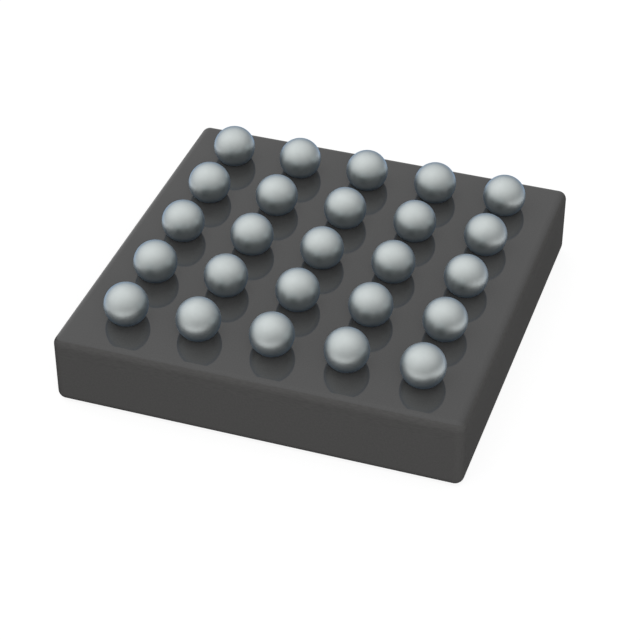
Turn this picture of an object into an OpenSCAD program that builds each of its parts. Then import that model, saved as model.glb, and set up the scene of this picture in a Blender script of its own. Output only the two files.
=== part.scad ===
// A ball grid array chip, lying on its marked face with its solder balls up.
// A square die is glued and wire bonded to a two-layer laminate, and a mould cap covers both.
// All sizes are in millimetres. Z is 0 on the marked face and grows towards the balls.

/* [Body] */
// Width of the body along X
body_w = 5.5; // [5.3:0.1:7]
// Depth of the body along Y
body_d = 5.5; // [5.3:0.1:7]
// Radius of every outer edge and corner
edge_r = 0.12; // [0.06:0.01:0.18]
// Thickness of the mould compound, from the marked face to the laminate
cap_t = 0.7; // [0.6:0.05:1]

/* [Corner mark] */
// Diameter of the round sunk mark beside ball A1
mark_d = 0.5; // [0.3:0.05:0.8]
// Depth of the mark
mark_depth = 0.03; // [0.01:0.01:0.08]
// Distance of its centre from the body's two nearest sides
mark_inset = 0.7; // [0.6:0.05:1]

/* [Solder balls] */
// Spacing of the balls, centre to centre
pitch = 1; // [0.9:0.05:1.15]
// Diameter of a ball
ball_d = 0.585; // [0.5:0.005:0.7]
// How far a ball spreads over the rim of its mask opening
ball_lap = 0.01; // [0.005:0.005:0.03]

/* [Laminate] */
// Thickness of the core with its copper
core_t = 0.24; // [0.16:0.02:0.4]
// Thickness of the solder mask on each side
mask_t = 0.03; // [0.02:0.005:0.05]
// Thickness of the copper
copper_t = 0.025; // [0.015:0.005:0.04]
// Diameter of the opening in the mask over a land
opening_d = 0.4; // [0.3:0.01:0.44]
// Width of the land's rim that the mask covers
land_lap = 0.06; // [0.03:0.01:0.08]
// Diameter of a filled via
via_d = 0.18; // [0.1:0.01:0.22]
// Diameter of a via's pad on the die side
via_pad_d = 0.28; // [0.24:0.01:0.34]
// Width of a copper trace
trace_w = 0.07; // [0.04:0.01:0.09]
// Side of the square ground paddle under the die
paddle_w = 1.2; // [0.8:0.05:1.3]
// Width of the paddle's rim that the mask covers
paddle_lap = 0.1; // [0.05:0.01:0.2]

/* [Bond fingers] */
// Length of a bond finger
finger_l = 0.2; // [0.16:0.01:0.24]
// Width of a bond finger
finger_w = 0.12; // [0.1:0.01:0.18]
// Spacing of the fingers along a side
finger_spacing = 0.42; // [0.36:0.01:0.44]
// Gap between the die's side and the fingers
finger_gap = 0.3; // [0.2:0.01:0.35]
// Margin of the mask's window around the fingers
window_gap = 0.06; // [0.02:0.01:0.1]

/* [Die] */
// Side of the square die
die_w = 2.2; // [1.9:0.05:2.3]
// Thickness of the die
die_t = 0.25; // [0.1:0.01:0.3]
// Thickness of the die attach
attach_t = 0.025; // [0.015:0.005:0.05]
// Spacing of the bond pads along a side
pad_spacing = 0.3; // [0.24:0.01:0.34]
// Distance of the bond pads from the die's side
pad_inset = 0.08; // [0.05:0.01:0.12]

/* [Bond wires] */
// Diameter of the wire
wire_d = 0.025; // [0.015:0.005:0.035]
// Diameter of the squashed ball at the die
bond_d = 0.06; // [0.045:0.005:0.08]
// Height of the squashed ball
bond_h = 0.018; // [0.01:0.002:0.03]
// Straight rise of the wire above the squashed ball
wire_rise = 0.025; // [0.01:0.005:0.08]
// Radius of the wire's bend, at its centre line
bend_r = 0.06; // [0.04:0.005:0.09]
// Length of the flattened stitch on the finger
stitch_l = 0.07; // [0.05:0.005:0.08]
// Width of the stitch at its end
stitch_w = 0.05; // [0.04:0.005:0.08]
// Thickness of the stitch
stitch_t = 0.01; // [0.006:0.002:0.014]

/* [Hidden] */
$fn = 48;

// Heights of the layers' faces above the marked face
core_z = cap_t + mask_t;
ball_mask_z = core_z + core_t;
body_t = ball_mask_z + mask_t;
attach_z = cap_t - attach_t;
die_z = attach_z - die_t;

// A ball is a sphere cut off where it meets the mask
contact_r = opening_d / 2 + ball_lap;
ball_z = body_t + sqrt(pow(ball_d / 2, 2) - pow(contact_r, 2));
land_d = opening_d + 2 * land_lap;

// Distances from the chip's centre to the two ends of a bond finger and to a bond pad
finger_in = die_w / 2 + finger_gap;
finger_out = finger_in + finger_l;
pad_x = die_w / 2 - pad_inset;

// Balls are placed by column and row, counted from the centre ball
ROWS = ["a", "b", "c", "d", "e"];
BALLS = [for (row = [-2:2], column = [-2:2]) [column, row]];

// The balls served by the fingers of the +X side, in the fingers' order along +Y.
// The other sides have the same nets, turned by 90 degrees a side.
SIDE_BALLS = [[2, -1], [1, 0], [2, 0], [1, 1], [2, 1], [2, 2]];
finger_gaps = len(SIDE_BALLS) - 1;
// A net is its side, its place along the side in steps from the middle, and its ball
SIDE_NETS = [for (i = [0:finger_gaps]) [i - finger_gaps / 2, SIDE_BALLS[i]]];
NETS = [for (side = [0:3], net = SIDE_NETS) [side, net[0], turned(net[1], side)]];

MOULD_COLOUR = "#474747";
MASK_COLOUR = "#4a4a4a";
CORE_COLOUR = "#454545";
SOLDER_COLOUR = "#c3cbce";
COPPER_COLOUR = "#b8733a";
SILICON_COLOUR = "#6f7684";
ATTACH_COLOUR = "#b9b7ae";
GOLD_COLOUR = "#e2b33c";

function turned(place, side) =
    side == 0 ? place : turned([-place[1], place[0]], side - 1);
function ball_name(ball) = str(ROWS[ball[1] + 2], ball[0] + 3);

// Left and right borders of a strip of a given width along a path, with mitred corners
function left_of(a, b) = [a[1] - b[1], b[0] - a[0]] / norm(b - a);
function mitre(path, i) =
    let (last = len(path) - 1)
    let (before = left_of(path[max(i - 1, 0)], path[max(i, 1)]))
    let (after = left_of(path[min(i, last - 1)], path[min(i + 1, last)]))
    (before + after) / (1 + before * after);
function strip(path, width) = concat(
    [for (i = [0:len(path) - 1]) path[i] + mitre(path, i) * width / 2],
    [for (i = [len(path) - 1:-1:0]) path[i] - mitre(path, i) * width / 2]
);

// Outer strip of the body's section between two heights, from the start of the edge radius outwards
module edge_section(bottom, top) {
    intersection() {
        translate([0, bottom]) square([edge_r, top - bottom]);
        union() {
            translate([0, edge_r]) square([edge_r, body_t - 2 * edge_r]);
            for (z = [edge_r, body_t - edge_r]) translate([0, z]) circle(edge_r);
        }
    }
}

// Slice of the whole rounded body between two heights
module body_slice(bottom, top) {
    inner = [body_w - 2 * edge_r, body_d - 2 * edge_r];
    translate([-inner[0] / 2, -inner[1] / 2, bottom]) cube([inner[0], inner[1], top - bottom]);
    for (turn = [0:3]) {
        across = inner[turn % 2] / 2;
        along = inner[(turn + 1) % 2];
        rotate(90 * turn) translate([across, 0, 0]) {
            rotate([90, 0, 0]) linear_extrude(along, center = true) edge_section(bottom, top);
            translate([0, along / 2, 0]) rotate_extrude(angle = 90) edge_section(bottom, top);
        }
    }
}

// Windows in the mask on the die side, one along each side of the die, that bare the bond fingers
module finger_windows() {
    window_l = finger_gaps * finger_spacing + finger_w + 2 * window_gap;
    for (side = [0:3]) rotate(90 * side) translate([finger_in - window_gap, -window_l / 2, cap_t])
        cube([finger_l + 2 * window_gap, window_l, mask_t]);
}

module plate(width, thickness) {
    translate([-width / 2, -width / 2, 0]) cube([width, width, thickness]);
}

module mould_cap() {
    color(MOULD_COLOUR) difference() {
        union() {
            body_slice(0, cap_t);
            finger_windows();
        }
        translate([mark_inset - body_w / 2, mark_inset - body_d / 2, 0]) cylinder(d = mark_d, h = mark_depth);
        translate([0, 0, die_z]) plate(die_w, die_t + attach_t);
        for (net = NETS) bond_wire(net);
    }
}

module die() {
    color(SILICON_COLOUR) translate([0, 0, die_z]) plate(die_w, die_t);
}

// The glue lies under the whole die and fills the mask's window down to the ground paddle
module die_attach() {
    color(ATTACH_COLOUR) {
        translate([0, 0, attach_z]) plate(die_w, attach_t);
        translate([0, 0, cap_t]) plate(paddle_w - 2 * paddle_lap, mask_t);
    }
}

module die_side_mask() {
    color(MASK_COLOUR) difference() {
        body_slice(cap_t, core_z);
        finger_windows();
        translate([0, 0, cap_t]) plate(paddle_w - 2 * paddle_lap, mask_t);
    }
}

module substrate_core() {
    color(CORE_COLOUR) difference() {
        body_slice(core_z, ball_mask_z);
        copper_nets();
        ground_paddle();
    }
}

module ball_side_mask() {
    color(MASK_COLOUR) difference() {
        body_slice(ball_mask_z, body_t);
        for (ball = BALLS)
            translate([pitch * ball[0], pitch * ball[1], ball_mask_z]) cylinder(d = opening_d, h = mask_t);
    }
}

// Land under a ball and the via that leads from it to the copper on the die side
module land_and_via(ball) {
    translate([pitch * ball[0], pitch * ball[1], core_z + copper_t]) {
        cylinder(d = via_d, h = core_t - 2 * copper_t);
        translate([0, 0, core_t - 2 * copper_t]) cylinder(d = land_d, h = copper_t);
    }
}

// One net on the +X side: the finger, and a trace from the end of it that is nearer the ball
module finger_and_trace(place, ball) {
    y = place * finger_spacing;
    outward = ball[0] == 2;
    start = [outward ? finger_out - trace_w : finger_in + trace_w, y];
    bend = ball[0] == ball[1] && outward ? [[finger_out, y], [finger_out, finger_out]] : [];
    translate([finger_in, y - finger_w / 2]) square([finger_l, finger_w]);
    polygon(strip(concat([start], bend, [pitch * ball]), trace_w));
    translate(pitch * ball) circle(d = via_pad_d);
}

module copper_nets() {
    color(COPPER_COLOUR) for (side = [0:3], net = SIDE_NETS) rotate(90 * side) {
        translate([0, 0, core_z]) linear_extrude(copper_t) finger_and_trace(net[0], net[1]);
        land_and_via(net[1]);
    }
}

module ground_paddle() {
    color(COPPER_COLOUR) {
        translate([0, 0, core_z]) plate(paddle_w, copper_t);
        land_and_via([0, 0]);
    }
}

module solder_ball(ball) {
    color(SOLDER_COLOUR) translate([pitch * ball[0], pitch * ball[1], 0]) rotate_extrude() {
        translate([0, ball_mask_z]) square([opening_d / 2, mask_t]);
        intersection() {
            translate([0, body_t]) square(ball_d);
            translate([0, ball_z]) circle(d = ball_d);
        }
    }
}

// The wire rises from its pad, bends over and runs straight down to the stitch on its finger.
// Here u runs from the pad to the finger and w is the height over the laminate on the die side.
module bond_wire(net) {
    pad = [pad_x, net[1] * pad_spacing];
    target = [(finger_in + finger_out) / 2, net[1] * finger_spacing];
    span = norm(target - pad);
    heading = atan2(target[1] - pad[1], target[0] - pad[0]);
    pad_w = core_z - die_z;
    rise_w = pad_w + bond_h + wire_rise;
    // The straight stretch is the tangent from the stitch to the circle of the bend.
    // Its slope is a round number of degrees, so that the bend ends exactly where it starts.
    reach = norm([span - bend_r, rise_w]);
    fall = round(100 * (atan2(rise_w, span - bend_r) + asin(bend_r / reach))) / 100;
    length = sqrt(reach * reach - bend_r * bend_r);
    color(GOLD_COLOUR) rotate(90 * net[0]) translate([pad[0], pad[1], core_z]) rotate([180, 0, heading]) {
        difference() {
            union() {
                translate([0, 0, pad_w]) cylinder(d = bond_d, h = bond_h);
                translate([0, 0, pad_w + bond_h]) cylinder(d = wire_d, h = wire_rise);
                translate([bend_r, 0, rise_w]) {
                    rotate([90, 0, 0]) rotate(90 - fall) rotate_extrude(angle = 90 + fall)
                        translate([bend_r, 0]) circle(d = wire_d);
                    translate([bend_r * sin(fall), 0, bend_r * cos(fall)]) rotate([0, 90 + fall, 0])
                        cylinder(d = wire_d, h = length + wire_d);
                }
            }
            // The laminate's face cuts off the wire's crushed end
            translate([span - 2 * wire_d, -wire_d, -3 * wire_d]) cube([4 * wire_d, 2 * wire_d, 3 * wire_d]);
        }
        linear_extrude(stitch_t) polygon([
            [span - wire_d, -wire_d / 2], [span - wire_d + stitch_l, -stitch_w / 2],
            [span - wire_d + stitch_l, stitch_w / 2], [span - wire_d, wire_d / 2]
        ]);
    }
}

mould_cap();
die();
die_attach();
die_side_mask();
substrate_core();
ball_side_mask();
copper_nets();
ground_paddle();
for (ball = BALLS)
    solder_ball(ball);
for (net = NETS)
    bond_wire(net);
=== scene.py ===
"""A ball grid array chip, balls up: finishes, solder balls, floor, light and camera."""

import math

import bmesh
import bpy
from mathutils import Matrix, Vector


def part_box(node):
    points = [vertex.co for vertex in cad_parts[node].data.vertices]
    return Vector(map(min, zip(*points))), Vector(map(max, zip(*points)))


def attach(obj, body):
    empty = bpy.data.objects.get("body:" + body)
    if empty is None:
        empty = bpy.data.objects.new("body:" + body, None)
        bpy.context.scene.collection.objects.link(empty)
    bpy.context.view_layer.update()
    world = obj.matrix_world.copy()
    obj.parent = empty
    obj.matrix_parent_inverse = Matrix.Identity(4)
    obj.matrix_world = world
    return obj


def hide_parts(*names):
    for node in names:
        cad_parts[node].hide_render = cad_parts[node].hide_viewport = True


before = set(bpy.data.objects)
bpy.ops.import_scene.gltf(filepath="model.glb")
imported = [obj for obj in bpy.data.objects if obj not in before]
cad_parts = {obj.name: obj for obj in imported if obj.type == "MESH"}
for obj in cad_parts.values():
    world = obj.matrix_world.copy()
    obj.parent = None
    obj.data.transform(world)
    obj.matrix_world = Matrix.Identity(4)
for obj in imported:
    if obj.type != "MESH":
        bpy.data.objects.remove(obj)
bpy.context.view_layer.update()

MM = 0.001

# Balls and wires, named by row letter and column number. The centre ball has no wire.
ROWS = "abcde"
COLUMNS = "12345"
BALL_NODES = [f"ball_{row}{column}" for row in ROWS for column in COLUMNS]
WIRE_NODES = [f"bond_wire_{ball[-2:]}" for ball in BALL_NODES if ball != "ball_c3"]

# Solder balls: steps of the half section from tip to seat, and steps of its turn
BALL_RINGS = 36
BALL_SEGMENTS = 80
# Radius of the opening in the solder mask under a ball
OPENING_R = 0.2 * MM

# Camera: where it looks from, what it looks at and how narrow its view is
VIEW_AZIMUTH = 18.603
VIEW_ELEVATION = 37.269
VIEW_DISTANCE = 26.44 * MM
VIEW_TARGET = Vector((0.4826, -1.5201, 1.2036)) * MM
LENS = 116.2
SENSOR = 36.0
# Nearest and farthest thing it sees, as shares of its distance
CLIP_START = 0.01
CLIP_END = 100

# Floor: a round sheet, with a white area round the chip in line with the main view.
# The area's centre, half size and soft border are in millimetres.
FLOOR_RADIUS = 400 * MM
FLOOR_SEGMENTS = 96
WHITE_CENTRE = (-0.51, 1.44, 0.0)
WHITE_HALF_SIZE = (5.5, 7.55, 0.0)
WHITE_BORDER = 3.0
# How much light it scatters, its own glow, and what the white area adds to the glow
FLOOR_SHADE = 0.2
FLOOR_GLOW = 0.3
WHITE_GLOW = 0.54

# Sky: brightness level with the chip, and what it gains or loses towards each side
SKY_LEVEL = 0.42
SKY_UP = 0.65
SKY_LEFT = 0.36
SKY_RIGHT = -0.18
SKY_FRONT_AND_BACK = -0.08

# A large soft lamp in front and to the right
LAMP_AZIMUTH = 32
LAMP_ELEVATION = 22
LAMP_DISTANCE = 120 * MM
LAMP_SIZE = 90 * MM
LAMP_POWER = 0.0953


# Nodes of a material ---------------------------------------------------------------------------

class Signal:
    """One output socket. Arithmetic on it adds Math nodes to its tree."""

    def __init__(self, tree, socket):
        self.tree = tree
        self.socket = socket

    def math(self, operation, *values):
        return self.tree.add("ShaderNodeMath", {"operation": operation}, dict(enumerate(values)))

    def __add__(self, other):
        return self.math("ADD", self, other)

    def __radd__(self, other):
        return self.math("ADD", other, self)

    def __sub__(self, other):
        return self.math("SUBTRACT", self, other)

    def __rsub__(self, other):
        return self.math("SUBTRACT", other, self)

    def __mul__(self, other):
        return self.math("MULTIPLY", self, other)

    def __rmul__(self, other):
        return self.math("MULTIPLY", other, self)

    def clipped(self):
        """The value kept between 0 and 1."""
        return self.math("MINIMUM", self.math("MAXIMUM", self, 0.0), 1.0)

    def size(self):
        """The value without its sign."""
        return self.math("ABSOLUTE", self)

    def ramp(self, low, high):
        """0 where the value is low, 1 where it is high, and smooth in between."""
        settings = {"interpolation_type": "SMOOTHSTEP"}
        return self.tree.add("ShaderNodeMapRange", settings,
                             {"Value": self, "From Min": low, "From Max": high})


class Tree:
    """The node tree of a material or of the world."""

    def __init__(self, owner):
        owner.use_nodes = True
        self.owner = owner
        self.nodes = owner.node_tree.nodes
        self.links = owner.node_tree.links
        self.nodes.clear()

    def add(self, kind, settings=None, inputs=None, output=0):
        """A new node: its settings first, then its sockets by name or number."""
        node = self.nodes.new(kind)
        for name, value in (settings or {}).items():
            setattr(node, name, value)
        for name, value in (inputs or {}).items():
            socket = node.inputs[name]
            if isinstance(value, Signal):
                self.links.new(value.socket, socket)
            else:
                socket.default_value = value
        return Signal(self, node.outputs[output]) if node.outputs else node

    def mix(self, share, low, high):
        """A colour between low and high. A Mix node's colours are its sockets 6, 7 and output 2."""
        inputs = {"Factor": share, 6: low, 7: high}
        return self.add("ShaderNodeMix", {"data_type": "RGBA"}, inputs, output=2)

    def vector(self, operation, *values, output="Vector"):
        """Arithmetic on vectors."""
        settings = {"operation": operation}
        return self.add("ShaderNodeVectorMath", settings, dict(enumerate(values)), output)

    def place(self):
        """The point's place on the object, in millimetres."""
        metres = self.add("ShaderNodeTexCoord", output="Object")
        return self.vector("MULTIPLY", metres, (1 / MM, 1 / MM, 1 / MM))

    def along(self, vector):
        """The three parts of a vector, by axis name."""
        return {axis: self.add("ShaderNodeSeparateXYZ", None, {"Vector": vector}, output=axis)
                for axis in "XYZ"}

    def noise(self, place, size, detail=2.0, roughness=0.5):
        """Cloudy noise from 0 to 1, with features of about that size in millimetres."""
        return self.add("ShaderNodeTexNoise", None, {
            "Vector": place, "Scale": 1 / size, "Detail": detail, "Roughness": roughness})

    def bump(self, height, depth):
        """A normal for a relief whose height runs from 0 to 1 over a depth in millimetres."""
        return self.add("ShaderNodeBump", None, {
            "Height": height, "Distance": depth * MM, "Strength": 1.0})


def finish(name, surface):
    """A material whose surface function gives the sockets of its Principled shader."""
    tree = Tree(bpy.data.materials.new(name))
    shader = tree.add("ShaderNodeBsdfPrincipled", None, surface(tree))
    tree.add("ShaderNodeOutputMaterial", None, {"Surface": shader})
    return tree.owner


def grey(level, warmth=0.0):
    """A grey of that level, a little redder and less blue where it is warm."""
    return (level * (1 + warmth), level, level * (1 - warmth), 1.0)


# Finishes --------------------------------------------------------------------------------------

# Each colour runs from a darker to a lighter tone
SOLDER_TONES = (0.58, 0.618, 0.61, 1), (0.605, 0.643, 0.635, 1)
MASK_TONES = grey(0.042), grey(0.048)
BODY_TONES = grey(0.0625, warmth=0.015), grey(0.0715, warmth=0.015)
COPPER_TONES = (0.72, 0.34, 0.2, 1), (0.82, 0.42, 0.26, 1)
SILICON_TONES = (0.2, 0.22, 0.27, 1), (0.24, 0.26, 0.31, 1)
SILVER_TONES = (0.42, 0.41, 0.38, 1), (0.6, 0.59, 0.56, 1)
GOLD_TONES = (0.95, 0.66, 0.26, 1), (1.0, 0.74, 0.34, 1)

# Solder turns blue where it is seen edge on, and carries a thin bluish haze
SOLDER_EDGE = (0.15, 0.33, 0.62, 1.0)
SOLDER_HAZE = (0.35, 0.65, 1.0, 1.0)

# Gloss of the matt sides, far below that of plain plastic
BODY_GLOSS = 0.008


def solder_surface(tree):
    """Reflowed tin-silver solder: bright and satin, with a faint frost of fine grains."""
    place = tree.place()
    frost = tree.noise(place, size=0.012, detail=3.0)
    cloud = tree.noise(place, size=0.16)
    return {
        "Base Color": tree.mix(cloud.ramp(0.35, 0.65), *SOLDER_TONES),
        "Metallic": 1.0,
        "Roughness": 0.4 + 0.04 * cloud + 0.02 * frost,
        "Specular Tint": SOLDER_EDGE,
        "Sheen Weight": 0.05,
        "Sheen Roughness": 0.7,
        "Sheen Tint": SOLDER_HAZE,
        "Normal": tree.bump(frost, depth=0.0002),
    }


def mask_surface(tree):
    """Glossy dark solder mask over the laminate."""
    place = tree.place()
    speckle = tree.noise(place, size=0.02, detail=3.0)
    cloud = tree.noise(place, size=0.9)
    return {
        "Base Color": tree.mix(speckle.ramp(0.3, 0.7), *MASK_TONES),
        "Roughness": 0.05 + 0.02 * cloud + 0.01 * speckle,
        "IOR": 1.51,
        "Normal": tree.bump(speckle, depth=0.00005),
    }


def mould_surface(tree):
    """Black epoxy mould compound with fine silica filler."""
    place = tree.place()
    filler = tree.noise(place, size=0.025, detail=4.0, roughness=0.7)
    cloud = tree.noise(place, size=0.7)
    return {
        "Base Color": tree.mix(filler.ramp(0.3, 0.7), *BODY_TONES),
        "Roughness": 0.62 + 0.08 * cloud + 0.06 * filler,
        "Specular IOR Level": BODY_GLOSS,
        "Normal": tree.bump(filler, depth=0.0008),
    }


def laminate_surface(tree):
    """Black-filled glass and resin laminate, its cloth seen edge on as fine level streaks."""
    place = tree.place()
    flattened = tree.vector("MULTIPLY", place, (1.0, 1.0, 6.0))
    cloth = tree.noise(flattened, size=0.08, detail=3.0)
    return {
        "Base Color": tree.mix(cloth.ramp(0.3, 0.7), *BODY_TONES),
        "Roughness": 0.62 + 0.1 * cloth,
        "Specular IOR Level": BODY_GLOSS,
        "Normal": tree.bump(cloth, depth=0.0006),
    }


def copper_surface(tree):
    """Bare rolled copper."""
    grain = tree.noise(tree.place(), size=0.03, detail=3.0)
    return {
        "Base Color": tree.mix(grain, *COPPER_TONES),
        "Metallic": 1.0,
        "Roughness": 0.32 + 0.1 * grain,
        "Normal": tree.bump(grain, depth=0.0004),
    }


def silicon_surface(tree):
    """Polished and diced silicon."""
    haze = tree.noise(tree.place(), size=0.3)
    return {
        "Base Color": tree.mix(haze, *SILICON_TONES),
        "Metallic": 0.8,
        "Roughness": 0.12 + 0.08 * haze,
        "Normal": tree.bump(haze, depth=0.0002),
    }


def silver_epoxy_surface(tree):
    """Silver-filled die attach glue."""
    flakes = tree.noise(tree.place(), size=0.02, detail=4.0, roughness=0.7)
    return {
        "Base Color": tree.mix(flakes, *SILVER_TONES),
        "Metallic": 0.7,
        "Roughness": 0.4 + 0.2 * flakes,
        "Normal": tree.bump(flakes, depth=0.001),
    }


def gold_surface(tree):
    """Drawn gold wire."""
    drawn = tree.noise(tree.place(), size=0.01)
    return {
        "Base Color": tree.mix(drawn, *GOLD_TONES),
        "Metallic": 1.0,
        "Roughness": 0.2 + 0.1 * drawn,
        "Normal": tree.bump(drawn, depth=0.0002),
    }


# Objects ---------------------------------------------------------------------------------------

def placed(name, data):
    """A new object with that data, in the scene."""
    thing = bpy.data.objects.new(name, data)
    bpy.context.scene.collection.objects.link(thing)
    return thing


def built(name, mesh):
    """A new object from a finished bmesh, which is used up."""
    data = bpy.data.meshes.new(name)
    mesh.to_mesh(data)
    mesh.free()
    return placed(name, data)


def direction(azimuth, elevation):
    """The way from the chip to a place round it, from degrees. Azimuth 0 is in front, at -Y."""
    turn, rise = math.radians(azimuth), math.radians(elevation)
    level = math.cos(rise)
    return Vector((math.sin(turn) * level, -math.cos(turn) * level, math.sin(rise)))


# Solder balls ----------------------------------------------------------------------------------

def ball_profile(radius, centre_z, seat_z, foot_z):
    """Half section of a ball: its skin from tip to seat, then its foot in the mask's opening.

    Both are lists of (distance from the axis, height).
    """
    seat_angle = math.acos((seat_z - centre_z) / radius)
    angles = [seat_angle * ring / BALL_RINGS for ring in range(BALL_RINGS + 1)]
    skin = [(radius * math.sin(a), centre_z + radius * math.cos(a)) for a in angles]
    foot = [(OPENING_R, seat_z), (OPENING_R, foot_z)]
    return skin, foot


def turned(name, centre, skin, foot):
    """The half section turned round the upright axis through the centre, smooth on its skin."""
    mesh = bmesh.new()
    turns = [2 * math.pi * i / BALL_SEGMENTS for i in range(BALL_SEGMENTS)]
    tip = mesh.verts.new((centre.x, centre.y, skin[0][1]))
    rings = []
    for distance, height in skin[1:] + foot:
        rings.append([mesh.verts.new((centre.x + distance * math.cos(turn),
                                      centre.y + distance * math.sin(turn), height))
                      for turn in turns])
    smooth_bands = len(skin) - 2
    for i in range(BALL_SEGMENTS):
        after = (i + 1) % BALL_SEGMENTS
        mesh.faces.new((tip, rings[0][i], rings[0][after])).smooth = True
        for band, (upper, lower) in enumerate(zip(rings, rings[1:])):
            face = mesh.faces.new((upper[i], lower[i], lower[after], upper[after]))
            face.smooth = band < smooth_bands
    mesh.faces.new(reversed(rings[-1]))
    mesh.normal_update()
    return built(name, mesh)


def solder_ball(node, seat_z, material):
    """The finer ball that stands for a ball node, seated on the mask."""
    low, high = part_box(node)
    radius = (high.x - low.x) / 2
    skin, foot = ball_profile(radius, high.z - radius, seat_z, low.z)
    piece = turned("solder_" + node, (low + high) / 2, skin, foot)
    piece.data.materials.append(material)
    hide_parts(node)
    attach(piece, "root")


# Floor, light and camera -----------------------------------------------------------------------

def floor():
    """The sheet that the chip lies on. The camera, metal and glass see its glow."""
    mesh = bmesh.new()
    bmesh.ops.create_circle(mesh, cap_ends=True, radius=FLOOR_RADIUS, segments=FLOOR_SEGMENTS)
    piece = built("floor", mesh)

    tree = Tree(bpy.data.materials.new("pale_floor"))
    sheet = tree.add("ShaderNodeBsdfDiffuse", None, {"Color": grey(FLOOR_SHADE)})
    in_line = tree.add("ShaderNodeMapping", {"vector_type": "TEXTURE"}, {
        "Vector": tree.place(), "Location": WHITE_CENTRE,
        "Rotation": (0.0, 0.0, math.radians(VIEW_AZIMUTH))})
    past_edge = tree.vector("SUBTRACT", tree.vector("ABSOLUTE", in_line), WHITE_HALF_SIZE)
    outside = tree.vector("LENGTH", tree.vector("MAXIMUM", past_edge, (0.0, 0.0, 0.0)),
                          output="Value")
    white = 1 - outside.ramp(0.0, WHITE_BORDER)
    glow = tree.add("ShaderNodeEmission", None, {
        "Color": FLOOR_GLOW + WHITE_GLOW * white, "Strength": 1.0})
    camera_ray, glossy_ray, transmission_ray = (
        tree.add("ShaderNodeLightPath", output=f"Is {kind} Ray")
        for kind in ("Camera", "Glossy", "Transmission"))
    seen = (camera_ray + glossy_ray + transmission_ray).clipped()
    seen_glow = tree.add("ShaderNodeMixShader", None, {0: seen, 2: glow})
    both = tree.add("ShaderNodeAddShader", None, {0: sheet, 1: seen_glow})
    tree.add("ShaderNodeOutputMaterial", None, {"Surface": both})
    piece.data.materials.append(tree.owner)


def sky():
    """An even, pale dome, brighter overhead and to the left."""
    world = bpy.data.worlds.new("studio")
    bpy.context.scene.world = world
    tree = Tree(world)
    way = tree.along(tree.add("ShaderNodeTexCoord", output="Generated"))
    up, right, left = way["Z"].clipped(), way["X"].clipped(), (0 - way["X"]).clipped()
    level = (SKY_LEVEL + SKY_UP * up + SKY_LEFT * left + SKY_RIGHT * right
             + SKY_FRONT_AND_BACK * way["Y"].size())
    light = tree.add("ShaderNodeBackground", None, {"Color": level, "Strength": 1.0})
    tree.add("ShaderNodeOutputWorld", None, {"Surface": light})


def lamp():
    """A round softbox that lights the chip and the floor, and that nothing mirrors."""
    light = bpy.data.lights.new("softbox", "AREA")
    light.shape = "DISK"
    light.size = LAMP_SIZE
    light.energy = LAMP_POWER
    softbox = placed("softbox", light)
    to_lamp = direction(LAMP_AZIMUTH, LAMP_ELEVATION)
    softbox.location = LAMP_DISTANCE * to_lamp
    softbox.rotation_euler = to_lamp.to_track_quat("Z", "Y").to_euler()
    softbox.visible_glossy = False


def camera():
    """The camera of the main view."""
    data = bpy.data.cameras.new("camera")
    data.lens = LENS
    data.sensor_width = SENSOR
    data.clip_start = VIEW_DISTANCE * CLIP_START
    data.clip_end = VIEW_DISTANCE * CLIP_END
    eye = placed("camera", data)
    to_camera = direction(VIEW_AZIMUTH, VIEW_ELEVATION)
    eye.location = VIEW_TARGET + VIEW_DISTANCE * to_camera
    eye.rotation_euler = (-to_camera).to_track_quat("-Z", "Y").to_euler()
    bpy.context.scene.camera = eye


# The chip --------------------------------------------------------------------------------------

def dress_nodes():
    """Every node but the balls keeps its mesh and gets its finish."""
    mould = finish("mould_compound", mould_surface)
    copper = finish("copper", copper_surface)
    gold = finish("gold", gold_surface)
    finishes = {
        "mould_cap": mould,
        # only this layer's thin edge shows, and it takes the colour of the sides
        "die_side_mask": mould,
        "substrate_core": finish("laminate", laminate_surface),
        "ball_side_mask": finish("solder_mask", mask_surface),
        "die": finish("silicon", silicon_surface),
        "die_attach": finish("silver_epoxy", silver_epoxy_surface),
        "copper_nets": copper,
        "ground_paddle": copper,
    }
    finishes.update({node: gold for node in WIRE_NODES})
    for node, material in finishes.items():
        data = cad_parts[node].data
        data.materials.clear()
        data.materials.append(material)


def solder_balls():
    """All the balls, seated on the upper face of the ball-side mask."""
    solder = finish("solder", solder_surface)
    seat_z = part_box("ball_side_mask")[1].z
    for node in BALL_NODES:
        solder_ball(node, seat_z, solder)


def main():
    camera()
    dress_nodes()
    solder_balls()
    floor()
    sky()
    lamp()
    bpy.context.scene.view_settings.view_transform = "Standard"


main()
